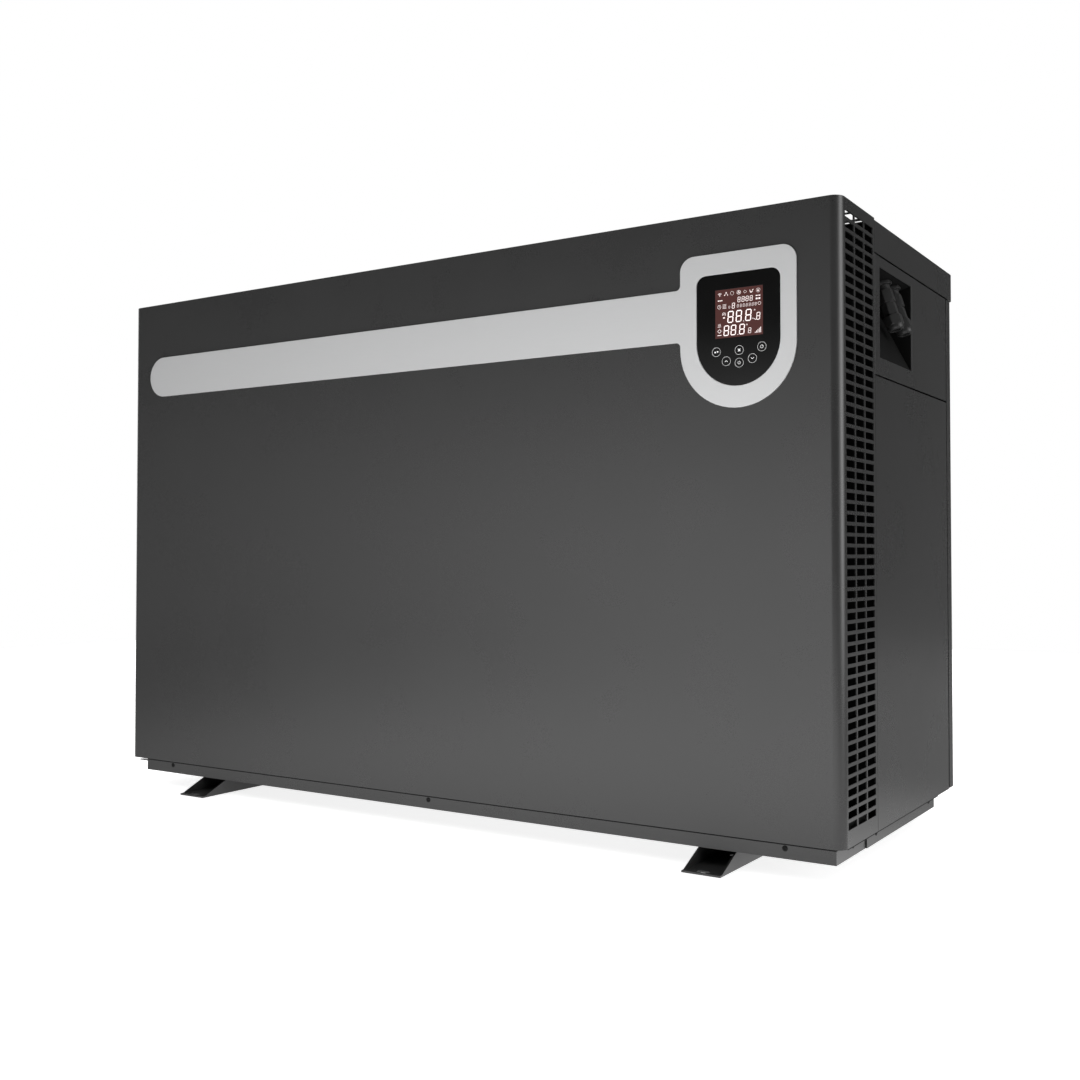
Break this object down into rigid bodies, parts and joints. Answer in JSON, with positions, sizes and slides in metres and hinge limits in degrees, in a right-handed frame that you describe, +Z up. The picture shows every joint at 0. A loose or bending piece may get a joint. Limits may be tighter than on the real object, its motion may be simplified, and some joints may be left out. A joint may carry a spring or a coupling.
{
  "type": "swimming pool heat pump",
  "caption": "Outdoor pool heat pump with a closed flat front, slotted side air outlets, a silver display shield, channel feet and rear water unions.",
  "frame": {"origin": "on the floor, at the centre of the four anchor slots in the two feet", "axes": "+Z up; the flat front faces -Y; +X is the right-hand side seen from the front"},
  "size_m": [1.012, 0.4896, 0.6483],
  "materials": {
    "graphite_paint": "fine-textured powder coat, satin",
    "guard_coat": "satin powder coat",
    "foot_coat": "satin powder coat",
    "silver_trim": "brushed, satin anodised",
    "black_glass": "gloss black printed glass",
    "lcd": "dark lit display",
    "circuit_board": "solder mask",
    "dark_plastic": "moulded, matt",
    "gland_plastic": "moulded nylon, semi-matt",
    "fan_plastic": "moulded, matt",
    "rubber": "matt",
    "black_screw": "black oxide",
    "zinc_steel": "zinc plated, dull",
    "shaft_steel": "ground",
    "motor_coat": "matt",
    "compressor_paint": "gloss enamel",
    "copper": "drawn copper tube",
    "brass": "machined",
    "titanium": "drawn tube",
    "fin_aluminium": "thin fins",
    "pvc_shell": "grey pressure pipe plastic",
    "union_plastic": "moulded, ribbed",
    "union_tail_plastic": "moulded grey",
    "terminal_plastic": "moulded, off-white",
    "inner_coat": "matt black coat"
  },
  "bodies": {
    "casing": {"front_cover": "graphite_paint", "trim_band": "silver_trim", "display_glass": "black_glass", "lcd_screen": "lcd", "display_board": "circuit_board", "display_housing": "dark_plastic", "top_lid": "graphite_paint", "right_upper_panel": "graphite_paint", "right_lower_panel": "graphite_paint", "rear_service_panel": "graphite_paint", "rear_guard": "guard_coat", "left_guard": "guard_coat", "base_pan": "graphite_paint", "foot_left": "foot_coat", "foot_right": "foot_coat", "foot_bolts": "zinc_steel", "casing_screws": "black_screw", "gland_pocket": "inner_coat", "gland_bodies": "gland_plastic", "gland_lock_nuts": "gland_plastic", "gland_seals": "rubber", "fan_bulkhead": "inner_coat", "fan_orifice": "dark_plastic", "fan_motor": "motor_coat", "motor_bracket": "zinc_steel", "motor_screws": "zinc_steel", "evaporator_fins": "fin_aluminium", "evaporator_bends": "copper", "evaporator_end_plates": "zinc_steel", "partition": "zinc_steel", "compressor": "compressor_paint", "compressor_grommets": "rubber", "compressor_nuts": "zinc_steel", "accumulator": "compressor_paint", "four_way_valve": "brass", "expansion_valve": "brass", "discharge_line": "copper", "suction_line": "copper", "coil_gas_line": "copper", "exchanger_gas_line": "copper", "liquid_line": "copper", "exchanger_shell": "pvc_shell", "exchanger_coil": "titanium", "exchanger_feet": "zinc_steel", "union_tails": "union_tail_plastic", "union_seals": "rubber", "flow_switch": "dark_plastic", "electrical_box": "zinc_steel", "main_board": "circuit_board", "heat_sink": "fin_aluminium", "terminal_block": "terminal_plastic", "drain_spout": "dark_plastic"},
    "fan": {"fan_rotor": "fan_plastic", "fan_nut": "zinc_steel", "motor_shaft": "shaft_steel"},
    "nut_inlet": {"union_nut_inlet": "union_plastic"},
    "nut_outlet": {"union_nut_outlet": "union_plastic"},
    "paddle": {"flow_paddle": "shaft_steel"},
    "gland_cap_front": {"gland_nut_front": "gland_plastic"},
    "gland_cap_rear": {"gland_nut_rear": "gland_plastic"}
  },
  "joints": [
    {"name": "fan_spin", "type": "hinge", "parent": "casing", "child": "fan", "pos_m": [-0.155, -0.04, 0.325], "axis": [0, 1, 0], "continuous": true},
    {"name": "inlet_nut_turn", "type": "hinge", "parent": "casing", "child": "nut_inlet", "pos_m": [0.272, 0.22, 0.12], "axis": [0, 1, 0], "continuous": true},
    {"name": "outlet_nut_turn", "type": "hinge", "parent": "casing", "child": "nut_outlet", "pos_m": [0.272, 0.22, 0.4], "axis": [0, 1, 0], "continuous": true},
    {"name": "flow_paddle_swing", "type": "hinge", "parent": "casing", "child": "paddle", "pos_m": [0.272, 0.168, 0.134], "axis": [1, 0, 0], "range_deg": [-30, 0], "stiffness_Nm_per_rad": 0.02},
    {"name": "gland_nut_front_turn", "type": "hinge", "parent": "casing", "child": "gland_cap_front", "pos_m": [0.48606, -0.0266, 0.55518], "axis": [0.2924, 0, -0.9563], "continuous": true},
    {"name": "gland_nut_rear_turn", "type": "hinge", "parent": "casing", "child": "gland_cap_rear", "pos_m": [0.48606, 0.0054, 0.55518], "axis": [0.2924, 0, -0.9563], "continuous": true}
  ]
}
